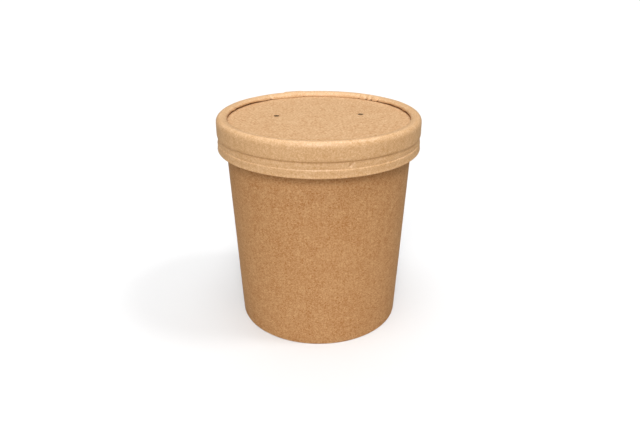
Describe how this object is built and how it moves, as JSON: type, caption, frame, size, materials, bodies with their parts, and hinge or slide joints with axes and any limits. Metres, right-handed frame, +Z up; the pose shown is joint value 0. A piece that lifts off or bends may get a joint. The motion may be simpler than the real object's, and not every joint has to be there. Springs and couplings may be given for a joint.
{
  "type": "takeaway soup container",
  "caption": "Tapered round kraft board cup with a rolled rim and a recessed base, shut by a flat board lid with a beaded skirt and steam vents, for carrying hot soup.",
  "frame": {"origin": "centre of the foot, on the surface that the container stands on", "axes": "+Z up along the container's axis, -Y towards the viewer of the picture, +X to the viewer's right"},
  "size_m": [0.101, 0.101, 0.1086],
  "materials": {
    "cup_kraft": "matt brown kraft board, finely mottled with fibres",
    "lid_kraft": "matt light brown kraft board, a shade paler than the cup"
  },
  "bodies": {
    "root": {"cup_body": "cup_kraft", "cup_base": "cup_kraft", "lid_band": "lid_kraft", "lid_panel": "lid_kraft"}
  },
  "joints": []
}
